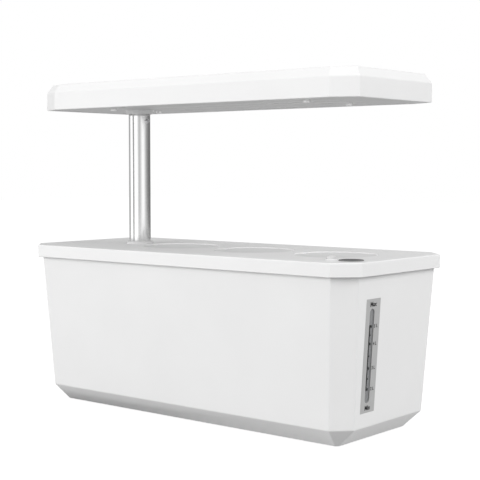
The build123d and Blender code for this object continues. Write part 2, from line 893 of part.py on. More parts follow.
def make_lock_screw():
    """A small socket-head screw through the pole wall, whose tip runs in the inner tube's slot."""
    seat = pole_x + math.sqrt(pole_radius**2 - lock_screw_head_radius**2)
    tip = pole_x + inner_pole_radius - inner_pole_wall
    head_face = pole_x + pole_radius + lock_screw_head_height
    screw = bar_x(lock_screw_radius, tip, head_face, 0, lock_z)
    head = bar_x(lock_screw_head_radius, seat, head_face, 0, lock_z)
    head -= post(pole_radius + fit_gap / 2, lock_z - bush_length, lock_z + bush_length, pole_x)
    screw += head
    socket = extrude(RegularPolygon(lock_screw_hex_radius, 6), lock_screw_head_height)
    screw -= Pos(head_face - lock_screw_head_height / 2, 0, lock_z) * Rot(0, 90, 0) * socket
    return screw


def make_inner_pole():
    high = panel_high + inner_pole_stub
    bore = inner_pole_radius - inner_pole_wall
    tube = post(inner_pole_radius, foot_low, high, pole_x) - hole(bore, foot_low, high, pole_x)
    half = lock_screw_radius + lock_slot_gap
    slot = block(0, inner_pole_radius + overrun, -half, half, lock_z - lamp_lift - half, lock_z + half)
    return tube - Pos(pole_x, 0, 0) * slot


def make_pole_foot():
    """A plug in the lower end of the inner tube, whose flange slides in the outer tube."""
    bore = inner_pole_radius - inner_pole_wall
    flange_low = foot_low - pole_foot_flange
    plug_top = foot_low + pole_foot_plug
    foot = post(bore - fit_gap, foot_low, plug_top, pole_x)
    foot += post(pole_bore - fit_gap, flange_low, foot_low, pole_x)
    return foot - hole(pole_foot_bore, flange_low, plug_top, pole_x)


def make_lamp_boss():
    """The flared collar under the lamp, with a spigot up through the panel."""
    boss = cone(boss_low_radius, boss_top_radius, boss_low, panel_low, pole_x)
    spigot_top = panel_high + boss_spigot_rise
    boss += post(spigot_radius, panel_low, spigot_top, pole_x)
    return boss - hole(boss_bore, boss_low, spigot_top, pole_x)


def make_boss_nut():
    high = panel_high + boss_nut_height
    hexagon = extrude(RegularPolygon(boss_nut_radius, 6), boss_nut_height)
    nut = Pos(pole_x, 0, panel_high) * hexagon
    return nut - hole(spigot_radius + fit_gap, panel_high, high, pole_x)


def lamp_face(inset, height):
    """The lamp's plan moved inwards, at a height."""
    return octagon(lamp_length / 2, lamp_width / 2, lamp_cut_long, lamp_cut_short, inset, height)


def panel_screw_places():
    """Places of the four screws that hold the panel to the shell."""
    return [(x, y) for x in (-panel_screw_x, panel_screw_x) for y in (-panel_screw_y, panel_screw_y)]


def make_lamp_shell():
    shell = extrude(lamp_face(0, lamp_low), lamp_side_height)
    shell += loft([lamp_face(0, lamp_bevel_low), lamp_face(lamp_bevel_inset, lamp_high)], ruled=True)
    room = extrude(lamp_face(lamp_wall, lamp_low), lamp_side_height)
    rise_share = (lamp_ceiling - lamp_bevel_low) / lamp_bevel_height
    ceiling_inset = lamp_wall + lamp_bevel_inset * rise_share
    room += loft([lamp_face(lamp_wall, lamp_bevel_low), lamp_face(ceiling_inset, lamp_ceiling)], ruled=True)
    for x, y in panel_screw_places():
        room -= post(shell_post_radius, panel_high, lamp_high, x, y)
        room += post(panel_screw_shank_radius + fit_gap, panel_high, inlet_z, x, y)
    shell -= room
    return shell - bar_y(inlet_radius + fit_gap, 0, lamp_width / 2 + overrun, inlet_x, inlet_z)


def light_places():
    """Places of the lights, row by row."""
    places = []
    for row in range(light_rows):
        y = light_row_pitch * (row - (light_rows - 1) / 2)
        for column in range(light_columns):
            places.append((light_first_x + light_pitch * column, y))
    return places


def light_row_places():
    """Middle of each row of lights."""
    return [(light_middle_x, light_row_pitch * (row - (light_rows - 1) / 2)) for row in range(light_rows)]


def window(width, length, low, high, x, y):
    """A round-ended window along X between two heights."""
    return Pos(x, y, low) * extrude(SlotOverall(length, width), high - low)


def make_lamp_panel():
    panel = extrude(lamp_face(lamp_wall + fit_gap, panel_low), panel_thickness)
    cut_low = panel_low - overrun
    cut_high = panel_high + overrun
    for x, y in light_row_places():
        panel -= window(light_window_width, light_row_length, cut_low, cut_high, x, y)
    for x, y in panel_screw_places():
        panel -= hole(panel_screw_shank_radius + fit_gap, panel_low, panel_high, x, y)
    return panel - hole(spigot_radius + fit_gap, panel_low, panel_high, pole_x)


def make_panel_screws():
    screws = []
    for x, y in panel_screw_places():
        low = panel_low - panel_screw_head_height
        head = post(panel_screw_head_radius, low, panel_low, x, y)
        head = chamfer(head.edges().group_by(Axis.Z)[0], panel_screw_head_height / 2)
        screws.append(head + post(panel_screw_shank_radius, panel_low, inlet_z - seat_gap, x, y))
    return Compound(children=screws)


def make_light_lenses():
    lenses = []
    for x, y in light_row_places():
        width = light_window_width - 2 * fit_gap
        length = light_row_length - 2 * fit_gap
        lens = window(width, length, panel_low + fit_gap, panel_high, x, y)
        lens += window(
            width + 2 * lens_flange,
            length + 2 * lens_flange,
            panel_high,
            panel_high + lens_flange_thickness,
            x,
            y,
        )
        lenses.append(lens)
    return Compound(children=lenses)


def make_light_board():
    right = 2 * light_middle_x - light_board_left
    half = light_row_pitch * (light_rows - 1) / 2 + light_window_width / 2 + light_board_margin
    board = block(light_board_left, right, -half, half, light_board_low, light_board_high)
    for x, y in panel_screw_places():
        board -= post(shell_post_radius + fit_gap, panel_high, lamp_high, x, y)
    return board


def make_lights():
    half = light_size / 2
    lights = []
    for x, y in light_places():
        lights.append(block(x - half, x + half, y - half, y + half, light_low, light_board_low))
    return Compound(children=lights)


def make_power_unit():
    half = driver_width / 2
    unit = block(unit_left, unit_right, -half, half, panel_high, unit_high)
    return fillet(unit.edges().filter_by(Axis.Z), lamp_wall)


def make_power_inlet():
    inner = inlet_face - inlet_depth
    inlet = bar_y(inlet_radius, inner, inlet_face, inlet_x, inlet_z)
    inlet += bar_y(inlet_flange_radius, inlet_face, inlet_face + inlet_flange_thickness, inlet_x, inlet_z)
    inlet -= bar_y(inlet_bore, inner + inlet_floor, inlet_face + overrun * 2, inlet_x, inlet_z)
    return inlet + bar_y(inlet_pin_radius, inner, inlet_face - inlet_floor, inlet_x, inlet_z)


def make_inlet_nut():
    high = inlet_face - lamp_wall
    nut = bar_y(inlet_nut_radius, high - inlet_nut_length, high, inlet_x, inlet_z)
    return nut - bar_y(inlet_radius + fit_gap, 0, inlet_face, inlet_x, inlet_z)


def make_pump_housing():
    housing = block(pump_left, pump_right, pump_front, pump_back, pump_low, pump_high)
    housing = fillet(housing.edges().filter_by(Axis.X), pump_corner)
    housing -= bar_x(chamber_radius, pump_left - overrun, pipe_x + chamber_half, pipe_y, rotor_z)
    housing -= post(pipe_bore, rotor_z, pump_high + overrun, pipe_x, pipe_y)
    housing -= post(pipe_radius + fit_gap, pump_high - pipe_seat, pump_high + overrun, pipe_x, pipe_y)
    return housing - bar_x(shaft_radius + fit_gap, pipe_x, shaft_end, pipe_y, rotor_z)


def make_pump_cap():
    face = pump_left - cap_thickness
    cap = block(face, pump_left, pump_front, pump_back, pump_low, pump_high)
    cap = fillet(cap.edges().filter_by(Axis.X), pump_corner)
    half = cap_slot_width / 2
    for index in range(cap_slot_count):
        z = rotor_z + 2 * cap_slot_width * (index - (cap_slot_count - 1) / 2)
        if abs(z - rotor_z) < cap_slot_width:
            continue
        slot = block(face - overrun, pump_left + overrun, -rotor_radius, rotor_radius, z - half, z + half)
        cap -= Pos(0, pipe_y, 0) * slot
    return cap


def make_pump_shaft():
    return bar_x(shaft_radius, pump_left + fit_gap, shaft_end - fit_gap, pipe_y, rotor_z)


def make_pump_rotor():
    left = pipe_x - rotor_length / 2
    right = left + rotor_length
    rotor = bar_x(rotor_hub_radius, left, right, pipe_y, rotor_z)
    for step in range(rotor_vane_count):
        vane = block(0, rotor_length, -rotor_vane / 2, rotor_vane / 2, 0, rotor_radius)
        turn = Rot(360 * step / rotor_vane_count, 0, 0)
        rotor += Pos(left, pipe_y, rotor_z) * turn * vane
    return rotor - bar_x(shaft_radius + fit_gap, left - overrun, right + overrun, pipe_y, rotor_z)


def make_stand_pipe():
    high = lid_under - seat_gap
    pipe = post(pipe_radius, pump_high - pipe_seat, high, pipe_x, pipe_y)
    pipe -= post(pipe_bore, pump_high - pipe_seat - overrun, high - pipe_outlet_radius, pipe_x, pipe_y)
    outlet_z = lid_under - pipe_boss_drop - pipe_outlet_drop
    reach = pipe_radius + overrun
    return pipe - bar_y(pipe_outlet_radius, pipe_y - reach, pipe_y + reach, pipe_x, outlet_z)


def lead_run(points, radius, bend):
    """A round lead through a list of points, bent at its corners."""
    path = FilletPolyline(*points, radius=bend)
    heading = Vector(*points[1]) - Vector(*points[0])
    section = Plane(origin=points[0], z_dir=heading) * Circle(radius)
    return sweep(section, path)


def make_pump_lead():
    """The pump's lead, straight up beside the pipe and over into the control box."""
    end_x = box_left_x + box_wall + board_gap
    points = [
        (lead_x, lead_y, pump_high),
        (lead_x, lead_y, lead_high),
        (end_x, lead_y, lead_high),
    ]
    return lead_run(points, lead_radius, lead_bend)


def make_control_lead():
    """The lead out of the socket's foot, up beside it and along the lid to the control box."""
    loop_low = socket_low - loop_drop
    points = [
        (pole_x, 0, coil_low - coil_tail),
        (pole_x, 0, loop_low),
        (pole_x, -loop_out, loop_low),
        (pole_x, -loop_out, lead_high),
        (pole_x, lid_run_y, lead_high),
        (box_left_x + box_wall + board_gap, lid_run_y, lead_high),
    ]
    return lead_run(points, wire_radius, wire_bend)


def make_coiled_lead():
    """The coiled stretch below the inner tube, which opens out as the lamp rises."""
    height = coil_high - coil_low
    coil = Helix(pitch=height / coil_turns, height=height, radius=coil_radius)
    upright = (0, 0, 1)
    foot = Spline((0, 0, -coil_tail), coil @ 0, tangents=(upright, coil % 0))
    head = Spline(coil @ 1, (0, 0, height + coil_tail), tangents=(coil % 1, upright))
    path = Wire([foot, coil, head])
    section = Plane(origin=path @ 0, z_dir=path % 0) * Circle(wire_radius)
    return Pos(pole_x, 0, coil_low) * sweep(section, path)


def make_lamp_lead():
    """The lead up the inner tube, over its rim and down into the power unit."""
    high = lamp_ceiling - wire_bend
    points = [
        (pole_x, 0, foot_low - pole_foot_flange),
        (pole_x, 0, high),
        (unit_left + unit_entry, 0, high),
        (unit_left + unit_entry, 0, unit_high),
    ]
    return lead_run(points, wire_radius, wire_bend)


def make_light_lead():
    """The short lead from the power unit to the light board."""
    level = light_board_high + light_wire_rise
    end_x = light_board_left + light_board_margin
    points = [
        (unit_right, light_wire_out, level),
        (end_x, light_wire_out, level),
        (end_x, light_wire_out, light_board_high),
    ]
    return lead_run(points, light_wire_radius, light_wire_rise / 2)


def make_inlet_lead():
    """The short lead from the power inlet to the power unit."""
    return bar_y(wire_radius, driver_width / 2, inlet_face - inlet_depth, inlet_x, inlet_z)


def make_lead_clips():
    clips = []
    span = lid_under - pipe_boss_drop - pipe_outlet_drop * 3 - pump_high
    for run_share in (clip_end_share, 1 - clip_end_share):
        low = pump_high + span * run_share
        high = low + clip_height
        clip = post(pipe_radius + fit_gap + clip_wall, low, high, pipe_x, pipe_y)
        clip += post(lead_radius + fit_gap + clip_wall, low, high, lead_x, lead_y)
        angle = math.degrees(math.atan2(lead_y - pipe_y, lead_x - pipe_x))
        length = math.hypot(lead_x - pipe_x, lead_y - pipe_y)
        web = block(0, length, -clip_wall / 2, clip_wall / 2, low, high)
        clip += Pos(pipe_x, pipe_y, 0) * Rot(0, 0, angle) * web
        clip -= hole(pipe_radius + fit_gap, low, high, pipe_x, pipe_y)
        clip -= hole(lead_radius + fit_gap, low, high, lead_x, lead_y)
        clips.append(clip)
    return Compound(children=clips)


pieces = {
    "tub": make_tub(),
    "rubber_feet": make_feet(),
    "gauge_plate": make_gauge_plate(),
    "gauge_window": make_gauge_window(),
    "gauge_gasket": make_gauge_gasket(),
    "float_guide": make_float_guide(),
    "guide_screws": make_guide_screws(),
    "level_float": make_level_float(),
    "lid": make_lid(),
    "fill_ring": make_fill_ring(),
    "button_bezel": make_bezel(),
    "control_button": make_button(),
    "control_box": make_control_box(),
    "control_cover": make_control_cover(),
    "control_screws": make_control_screws(),
    "control_board": make_control_board(),
    "pole_socket": make_pole_socket(),
    "socket_nut": make_socket_nut(),
    "outer_pole": make_outer_pole(),
    "pole_bush": make_pole_bush(),
    "lock_screw": make_lock_screw(),
    "inner_pole": make_inner_pole(),
    "pole_foot": make_pole_foot(),
    "lamp_boss": make_lamp_boss(),
    "boss_nut": make_boss_nut(),
    "lamp_shell": make_lamp_shell(),
    "lamp_panel": make_lamp_panel(),
    "panel_screws": make_panel_screws(),
    "light_lenses": make_light_lenses(),
    "light_board": make_light_board(),
    "lights": make_lights(),
    "power_unit": make_power_unit(),
    "power_inlet": make_power_inlet(),
    "inlet_nut": make_inlet_nut(),
    "pump_housing": make_pump_housing(),
    "pump_cap": make_pump_cap(),
    "pump_shaft": make_pump_shaft(),
    "pump_rotor": make_pump_rotor(),
    "stand_pipe": make_stand_pipe(),
    "pump_lead": make_pump_lead(),
    "lead_clips": make_lead_clips(),
    "control_lead": make_control_lead(),
    "coiled_lead": make_coiled_lead(),
    "lamp_lead": make_lamp_lead(),
    "light_lead": make_light_lead(),
    "inlet_lead": make_inlet_lead(),
}
for index in range(well_count):
    pieces[f"basket_{index + 1}"] = make_basket(index)
    pieces[f"sponge_{index + 1}"] = make_sponge(index)
    pieces[f"well_cover_{index + 1}"] = make_cover(index)

for name, shape in pieces.items():
    export_step(shape, f"parts/{name}.step")
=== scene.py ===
import math

import bmesh
import bpy
from mathutils import Matrix, Vector


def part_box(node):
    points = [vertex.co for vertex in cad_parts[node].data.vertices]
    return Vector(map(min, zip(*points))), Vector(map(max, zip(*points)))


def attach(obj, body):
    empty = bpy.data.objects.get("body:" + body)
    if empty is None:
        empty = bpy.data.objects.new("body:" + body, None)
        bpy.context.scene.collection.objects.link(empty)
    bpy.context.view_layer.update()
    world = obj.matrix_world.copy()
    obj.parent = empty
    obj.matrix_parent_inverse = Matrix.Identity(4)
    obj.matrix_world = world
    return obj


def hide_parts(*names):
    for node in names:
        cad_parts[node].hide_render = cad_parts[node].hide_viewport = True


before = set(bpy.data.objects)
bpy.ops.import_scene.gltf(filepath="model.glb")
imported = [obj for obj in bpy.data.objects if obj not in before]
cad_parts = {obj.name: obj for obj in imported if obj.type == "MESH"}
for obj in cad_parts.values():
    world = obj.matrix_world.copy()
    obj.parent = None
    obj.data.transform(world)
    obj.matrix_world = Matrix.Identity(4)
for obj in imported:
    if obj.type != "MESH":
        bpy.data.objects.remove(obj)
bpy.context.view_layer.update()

# Camera: off the right front corner of the planter, above the lid and below the lamp, as in the
# photograph. The lens is long and the view almost level, so the uprights stay upright.
camera_turn = math.radians(39.60)
camera_rise = math.radians(3.53)
camera_distance = 1.1337
camera_aim = Vector((0.01710, 0.0, 0.16896))
camera_angle = math.radians(23.017)


def add_object(name, data):
    """A new object of the scene, at the origin."""
    made = bpy.data.objects.new(name, data)
    bpy.context.scene.collection.objects.link(made)
    return made


camera_back = Vector((
    math.sin(camera_turn) * math.cos(camera_rise),
    -math.cos(camera_turn) * math.cos(camera_rise),
    math.sin(camera_rise),
))
camera_data = bpy.data.cameras.new("camera")
camera_data.sensor_fit = "AUTO"
camera_data.angle = camera_angle
camera = add_object("camera", camera_data)
camera.location = camera_aim + camera_back * camera_distance
camera.rotation_euler = camera_back.to_track_quat("Z", "Y").to_euler()
bpy.context.scene.camera = camera
bpy.context.scene.view_settings.view_transform = "Standard"


# Studio: a pale floor that runs out of view, an even room, a soft lamp for the front, one for the
# right-hand end and a weak low one behind the camera. The camera sees the floor and the room white,
# and the floor keeps the planter's shadow.
floor_reach = 6.0
floor_colour = 0.26
floor_shade = 0.30
floor_glow = 0.86
room_light = 0.60
room_white = 1.0
soft_box = 1.6
key_place = (-0.6, -2.0, 0.7)
key_power = 33.0
side_place = (2.1, 0.4, 1.3)
side_power = 34.5
fill_place = (1.45, -1.75, 0.2)
fill_power = 6.0


def grey(level):
    """A neutral colour."""
    return (level, level, level)


def paint(colour, share=1.0):
    """A colour, or a darker share of it, in the form that a socket takes."""
    return (*[share * part for part in colour], 1)


def bare_tree(holder):
    """The node tree of a material or a world, with nothing in it."""
    holder.use_nodes = True
    holder.node_tree.nodes.clear()
    return holder.node_tree


def add_node(tree, kind, values=None):
    """A new node, with fixed values on some of its inputs."""
    node = tree.nodes.new(kind)
    for socket, value in (values or {}).items():
        node.inputs[socket].default_value = value
    return node


floor_mesh = bpy.data.meshes.new("floor")
floor_corners = (
    (-floor_reach, -floor_reach, 0),
    (floor_reach, -floor_reach, 0),
    (floor_reach, floor_reach, 0),
    (-floor_reach, floor_reach, 0),
)
floor_mesh.from_pydata(floor_corners, [], [(0, 1, 2, 3)])
floor = add_object("floor", floor_mesh)

floor_material = bpy.data.materials.new("studio_floor")
tree = bare_tree(floor_material)
floor_out = add_node(tree, "ShaderNodeOutputMaterial")
floor_mix = add_node(tree, "ShaderNodeMixShader")
floor_bounce = add_node(tree, "ShaderNodeBsdfDiffuse", {"Color": paint(grey(floor_colour))})
floor_seen = add_node(tree, "ShaderNodeAddShader")
floor_shadow = add_node(tree, "ShaderNodeBsdfDiffuse", {"Color": paint(grey(floor_shade))})
floor_white = add_node(tree, "ShaderNodeEmission", {"Strength": floor_glow})
rays = add_node(tree, "ShaderNodeLightPath")
seen_or_mirrored = add_node(tree, "ShaderNodeMath")
seen_or_mirrored.operation = "MAXIMUM"
tree.links.new(rays.outputs["Is Camera Ray"], seen_or_mirrored.inputs[0])
tree.links.new(rays.outputs["Is Glossy Ray"], seen_or_mirrored.inputs[1])
tree.links.new(floor_shadow.outputs[0], floor_seen.inputs[0])
tree.links.new(floor_white.outputs[0], floor_seen.inputs[1])
tree.links.new(seen_or_mirrored.outputs[0], floor_mix.inputs["Fac"])
tree.links.new(floor_bounce.outputs[0], floor_mix.inputs[1])
tree.links.new(floor_seen.outputs[0], floor_mix.inputs[2])
tree.links.new(floor_mix.outputs[0], floor_out.inputs["Surface"])
floor_mesh.materials.append(floor_material)

room = bpy.data.worlds.new("studio_room")
bpy.context.scene.world = room
tree = bare_tree(room)
room_out = add_node(tree, "ShaderNodeOutputWorld")
room_glow = add_node(tree, "ShaderNodeBackground", {"Color": paint(grey(1))})
room_level = add_node(tree, "ShaderNodeMix", {"A": room_light, "B": room_white})
room_level.data_type = "FLOAT"
rays = add_node(tree, "ShaderNodeLightPath")
tree.links.new(rays.outputs["Is Camera Ray"], room_level.inputs["Factor"])
tree.links.new(room_level.outputs["Result"], room_glow.inputs["Strength"])
tree.links.new(room_glow.outputs[0], room_out.inputs["Surface"])


def add_lamp(name, place, power):
    """A square soft box that faces the planter and isn't mirrored in it."""
    data = bpy.data.lights.new(name, "AREA")
    data.shape = "SQUARE"
    data.size = soft_box
    data.energy = power
    lamp = add_object(name, data)
    lamp.location = place
    lamp.rotation_euler = (Vector(place) - camera_aim).to_track_quat("Z", "Y").to_euler()
    lamp.visible_glossy = False


add_lamp("key_lamp", key_place, key_power)
add_lamp("side_lamp", side_place, side_power)
add_lamp("fill_lamp", fill_place, fill_power)


# Ring: light and dark panels round the table, as a studio has them. Only polished metal and glossy
# plastic mirror it, most of all the pole, whose stripes it makes. Each of its tones is a place, as a
# share of the way round, and how brightly the panel glows there.
ring_reach = 2.45
ring_height = 0.50
ring_sides = 96
ring_tones = (
    (0.000, 0.45), (0.040, 0.60), (0.075, 1.50), (0.100, 1.90), (0.125, 1.50),
    (0.155, 0.55), (0.180, 0.22), (0.200, 0.80), (0.220, 1.65), (0.262, 1.70),
    (0.305, 1.15), (0.335, 0.72), (0.365, 0.58), (0.395, 0.80), (0.426, 1.10),
    (0.458, 1.30), (0.490, 1.25), (0.521, 1.05), (0.558, 0.65), (0.598, 0.40),
    (0.643, 0.30), (0.698, 0.20), (0.782, 0.20), (0.860, 0.30), (0.938, 0.45),
)

ring_corners = []
ring_panels = []
for count in range(ring_sides):
    turn = 2 * math.pi * count / ring_sides
    for height in (0.0, ring_height):
        ring_corners.append((ring_reach * math.cos(turn), ring_reach * math.sin(turn), height))
    here = 2 * count
    onward = (here + 2) % (2 * ring_sides)
    ring_panels.append((here, onward, onward + 1, here + 1))
ring_mesh = bpy.data.meshes.new("studio_ring")
ring_mesh.from_pydata(ring_corners, [], ring_panels)
ring = add_object("studio_ring", ring_mesh)
ring.visible_camera = False
ring.visible_diffuse = False
ring.visible_shadow = False
ring.visible_transmission = False

ring_material = bpy.data.materials.new("studio_ring")
tree = bare_tree(ring_material)
ring_out = add_node(tree, "ShaderNodeOutputMaterial")
ring_glow = add_node(tree, "ShaderNodeEmission")
ring_place = add_node(tree, "ShaderNodeTexCoord")
ring_turn = add_node(tree, "ShaderNodeTexGradient")
ring_turn.gradient_type = "RADIAL"
ring_tone = add_node(tree, "ShaderNodeValToRGB")
ring_stops = ring_tone.color_ramp.elements
while len(ring_stops) < len(ring_tones):
    ring_stops.new(ring_tones[-1][0])
for stop, (place, level) in zip(ring_stops, ring_tones):
    stop.position = place
    stop.color = paint(grey(level))
tree.links.new(ring_place.outputs["Object"], ring_turn.inputs["Vector"])
tree.links.new(ring_turn.outputs["Fac"], ring_tone.inputs["Fac"])
tree.links.new(ring_tone.outputs["Color"], ring_glow.inputs["Color"])
tree.links.new(ring_glow.outputs[0], ring_out.inputs["Surface"])
ring_mesh.materials.append(ring_material)


# Tub: one tapered shell of smooth white plastic, with cut corners and a chamfer band round its
# foot. The mould leaves a small radius on its long outer edges and a very fine grain on the walls.
# The edges at the table and those round the gauge's opening stay as they are.
mm = 0.001
tub_edge_radius = 0.8 * mm
foot_zone = 1.5 * mm
gauge_zone_deep = 30 * mm
gauge_zone_side = 2 * mm
gauge_zone_up = 9 * mm
long_edge = 8 * mm
merge_distance = 0.004 * mm


def new_surface(name):
    """A new material, its node tree and its main shader."""
    material = bpy.data.materials.new(name)
    material.use_nodes = True
    return material, material.node_tree, material.node_tree.nodes["Principled BSDF"]


def two_tones(tree, dark, light, low=0.3, high=0.7):
    """A ramp between two colours, even below its low end and above its high end."""
    ramp = add_node(tree, "ShaderNodeValToRGB")
    for stop, place, colour in zip(ramp.color_ramp.elements, (low, high), (dark, light)):
        stop.position = place
        stop.color = colour
    return ramp


def moulded(name, colour, roughness, grain=0.8 * mm, depth=0.010 * mm):
    """Moulded plastic with a fine grain, whose shade and gloss change slowly over the wall."""
    cloud_scale = 14.0
    cloud_detail = 3.0
    dark_share = 0.975
    gloss_change = 0.05
    skin_detail = 2.0
    skin_strength = 0.6
    material, tree, plastic = new_surface(name)
    coords = add_node(tree, "ShaderNodeTexCoord")
    cloud = add_node(tree, "ShaderNodeTexNoise", {"Scale": cloud_scale, "Detail": cloud_detail})
    tint = two_tones(tree, paint(colour, dark_share), paint(colour))
    polish = add_node(tree, "ShaderNodeMapRange", {
        "To Min": roughness - gloss_change,
        "To Max": roughness + gloss_change,
    })
    skin = add_node(tree, "ShaderNodeTexNoise", {"Scale": 1.0 / grain, "Detail": skin_detail})
    relief = add_node(tree, "ShaderNodeBump", {"Strength": skin_strength, "Distance": depth})
    tree.links.new(coords.outputs["Object"], cloud.inputs["Vector"])
    tree.links.new(coords.outputs["Object"], skin.inputs["Vector"])
    tree.links.new(cloud.outputs["Fac"], tint.inputs["Fac"])
    tree.links.new(cloud.outputs["Fac"], polish.inputs["Value"])
    tree.links.new(skin.outputs["Fac"], relief.inputs["Height"])
    tree.links.new(tint.outputs["Color"], plastic.inputs["Base Color"])
    tree.links.new(polish.outputs["Result"], plastic.inputs["Roughness"])
    tree.links.new(relief.outputs["Normal"], plastic.inputs["Normal"])
    return material


def plain_mesh(piece):
    """Turns a piece's modifiers into a plain mesh."""
    shown = piece.evaluated_get(bpy.context.evaluated_depsgraph_get())
    mesh = bpy.data.meshes.new_from_object(shown)
    piece.modifiers.clear()
    piece.data = mesh
    return piece


def softened(node, name, radius, material, keep=None):
    """A copy of a moulded CAD piece with a radius on its long outer edges, but for those to keep."""
    flat_angle = math.radians(0.5)
    edge_angle = math.radians(15)
    sharp_angle = math.radians(32)
    round_steps = 3
    round_profile = 0.5
    corner_spread = 0.1 * mm
    shape = bmesh.new()
    shape.from_mesh(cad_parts[node].data)
    bmesh.ops.remove_doubles(shape, verts=shape.verts, dist=merge_distance)
    bmesh.ops.dissolve_limit(
        shape, angle_limit=flat_angle, verts=shape.verts[:], edges=shape.edges[:]
    )
    picked = []
    for edge in shape.edges:
        if not edge.is_manifold or not edge.is_convex or edge.calc_length() < long_edge:
            continue
        middle = (edge.verts[0].co + edge.verts[1].co) / 2
        if edge.calc_face_angle() > edge_angle and not (keep and keep(middle)):
            picked.append(edge)
    bmesh.ops.bevel(
        shape, geom=picked, affect="EDGES", offset=radius, offset_type="OFFSET", segments=round_steps,
        profile=round_profile, clamp_overlap=False, miter_outer="ARC", spread=corner_spread,
    )
    bmesh.ops.recalc_face_normals(shape, faces=shape.faces[:])
    mesh = bpy.data.meshes.new(name)
    shape.to_mesh(mesh)
    shape.free()
    mesh.materials.append(material)
    mesh.shade_smooth()
    mesh.set_sharp_from_angle(angle=sharp_angle)
    piece = add_object(name, mesh)
    even = piece.modifiers.new("even_shading", "WEIGHTED_NORMAL")
    even.keep_sharp = True
    return plain_mesh(piece)


gauge_low, gauge_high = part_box("gauge_plate")


def stays_sharp(middle):
    """Whether an edge lies at the table or round the gauge's opening, by its middle."""
    by_gauge = (
        middle.x > gauge_low.x - gauge_zone_deep
        and gauge_low.y - gauge_zone_side < middle.y < gauge_high.y + gauge_zone_side
        and gauge_low.z - gauge_zone_up < middle.z < gauge_high.z + gauge_zone_up
    )
    return middle.z < foot_zone or by_gauge


tub_plastic = moulded("tub_plastic", grey(0.80), roughness=0.34)
tub_shell = softened("tub", "tub_shell", tub_edge_radius, tub_plastic, keep=stays_sharp)
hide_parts("tub")
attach(tub_shell, "tub")


# Rubber feet: four soft pads of grey rubber, pressed into pockets below the tub.
# Their skin is matt, with a fine deep grain.
def dress(material, *nodes):
    """Gives a finish to CAD pieces that keep their shape."""
    for node in nodes:
        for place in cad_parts[node].material_slots:
            place.material = material


foot_rubber = moulded(
    "foot_rubber_skin", (0.34, 0.34, 0.33), roughness=0.72, grain=0.35 * mm, depth=0.03 * mm,
)
dress(foot_rubber, "rubber_feet")


# Water gauge: a strip of satin grey plastic let into the end wall, with a milky window whose plug
# fills the slot. Behind the wall lie its black seal, the guide and the float. The scale is printed:
# its line and ticks on the window, its numbers and words on the strip.
plate_thickness = 0.8 * mm
slot_offset = 1.2 * mm
wall_draft = 9.0 * mm
wall_height = 140.0 * mm
wall_lean = wall_draft / wall_height
window_face = -plate_thickness
mark_thickness = 0.06 * mm
line_x = -3.0 * mm
line_width = 2.2 * mm
line_edge = line_x + line_width
fine_tick = 0.7 * mm
fine_width = 0.4 * mm
middle_tick = 1.5 * mm
middle_width = 1.5 * mm
major_tick = 2.3 * mm
major_width = 2.2 * mm
major_marks = ((25.4 * mm, "5 L"), (10.2 * mm, "4 L"), (-10.8 * mm, "3 L"), (-29.0 * mm, "2 L"))
fine_per_major = 10
number_x = 6.6 * mm
number_size = 4.0 * mm
word_size = 5.6 * mm
max_height = 44.4 * mm
min_height = -45.1 * mm
stroke_share = 0.032
letter_steps = 3


def clear_plastic(name, colour, roughness, clear_share):
    """Milky moulded plastic with faint flow lines in its surface."""
    plastic_bending = 1.49
    flow_scale = 90.0
    dark_share = 0.96
    gloss_change = 0.06
    material, tree, plastic = new_surface(name)
    plastic.inputs["Transmission Weight"].default_value = clear_share
    plastic.inputs["IOR"].default_value = plastic_bending
    coords = add_node(tree, "ShaderNodeTexCoord")
    flow = add_node(tree, "ShaderNodeTexNoise", {"Scale": flow_scale})
    tint = two_tones(tree, paint(colour, dark_share), paint(colour), low=0.0, high=1.0)
    polish = add_node(tree, "ShaderNodeMapRange", {
        "To Min": roughness,
        "To Max": roughness + gloss_change,
    })
    tree.links.new(coords.outputs["Object"], flow.inputs["Vector"])
    tree.links.new(flow.outputs["Fac"], tint.inputs["Fac"])
    tree.links.new(flow.outputs["Fac"], polish.inputs["Value"])
    tree.links.new(tint.outputs["Color"], plastic.inputs["Base Color"])
    tree.links.new(polish.outputs["Result"], plastic.inputs["Roughness"])
    return material


gauge_plastic = moulded("gauge_plastic", grey(0.42), roughness=0.42, grain=0.5 * mm)
dress(gauge_plastic, "gauge_plate")
guide_plastic = moulded("guide_plastic", grey(0.55), roughness=0.5)
dress(guide_plastic, "float_guide")
float_plastic = moulded("float_plastic", (0.075, 0.08, 0.09), roughness=0.45)
dress(float_plastic, "level_float")
seal_rubber = moulded("seal_rubber", grey(0.03), roughness=0.7, grain=0.3 * mm)
dress(seal_rubber, "gauge_gasket")
window_plastic = clear_plastic(
    "gauge_window_plastic", (0.40, 0.41, 0.42), roughness=0.20, clear_share=0.55,
)
dress(window_plastic, "gauge_window")

gauge_along = Vector((0, 1, 0))
gauge_up = Vector((wall_lean, 0, 1)).normalized()
gauge_out = Vector((1, 0, -wall_lean)).normalized()
gauge_middle = (gauge_low + gauge_high) / 2
gauge_origin = gauge_middle + gauge_out * plate_thickness / 2 - gauge_along * slot_offset
gauge_axes = Matrix((gauge_along, gauge_up, gauge_out)).transposed().to_4x4()
on_gauge = Matrix.Translation(gauge_origin) @ gauge_axes


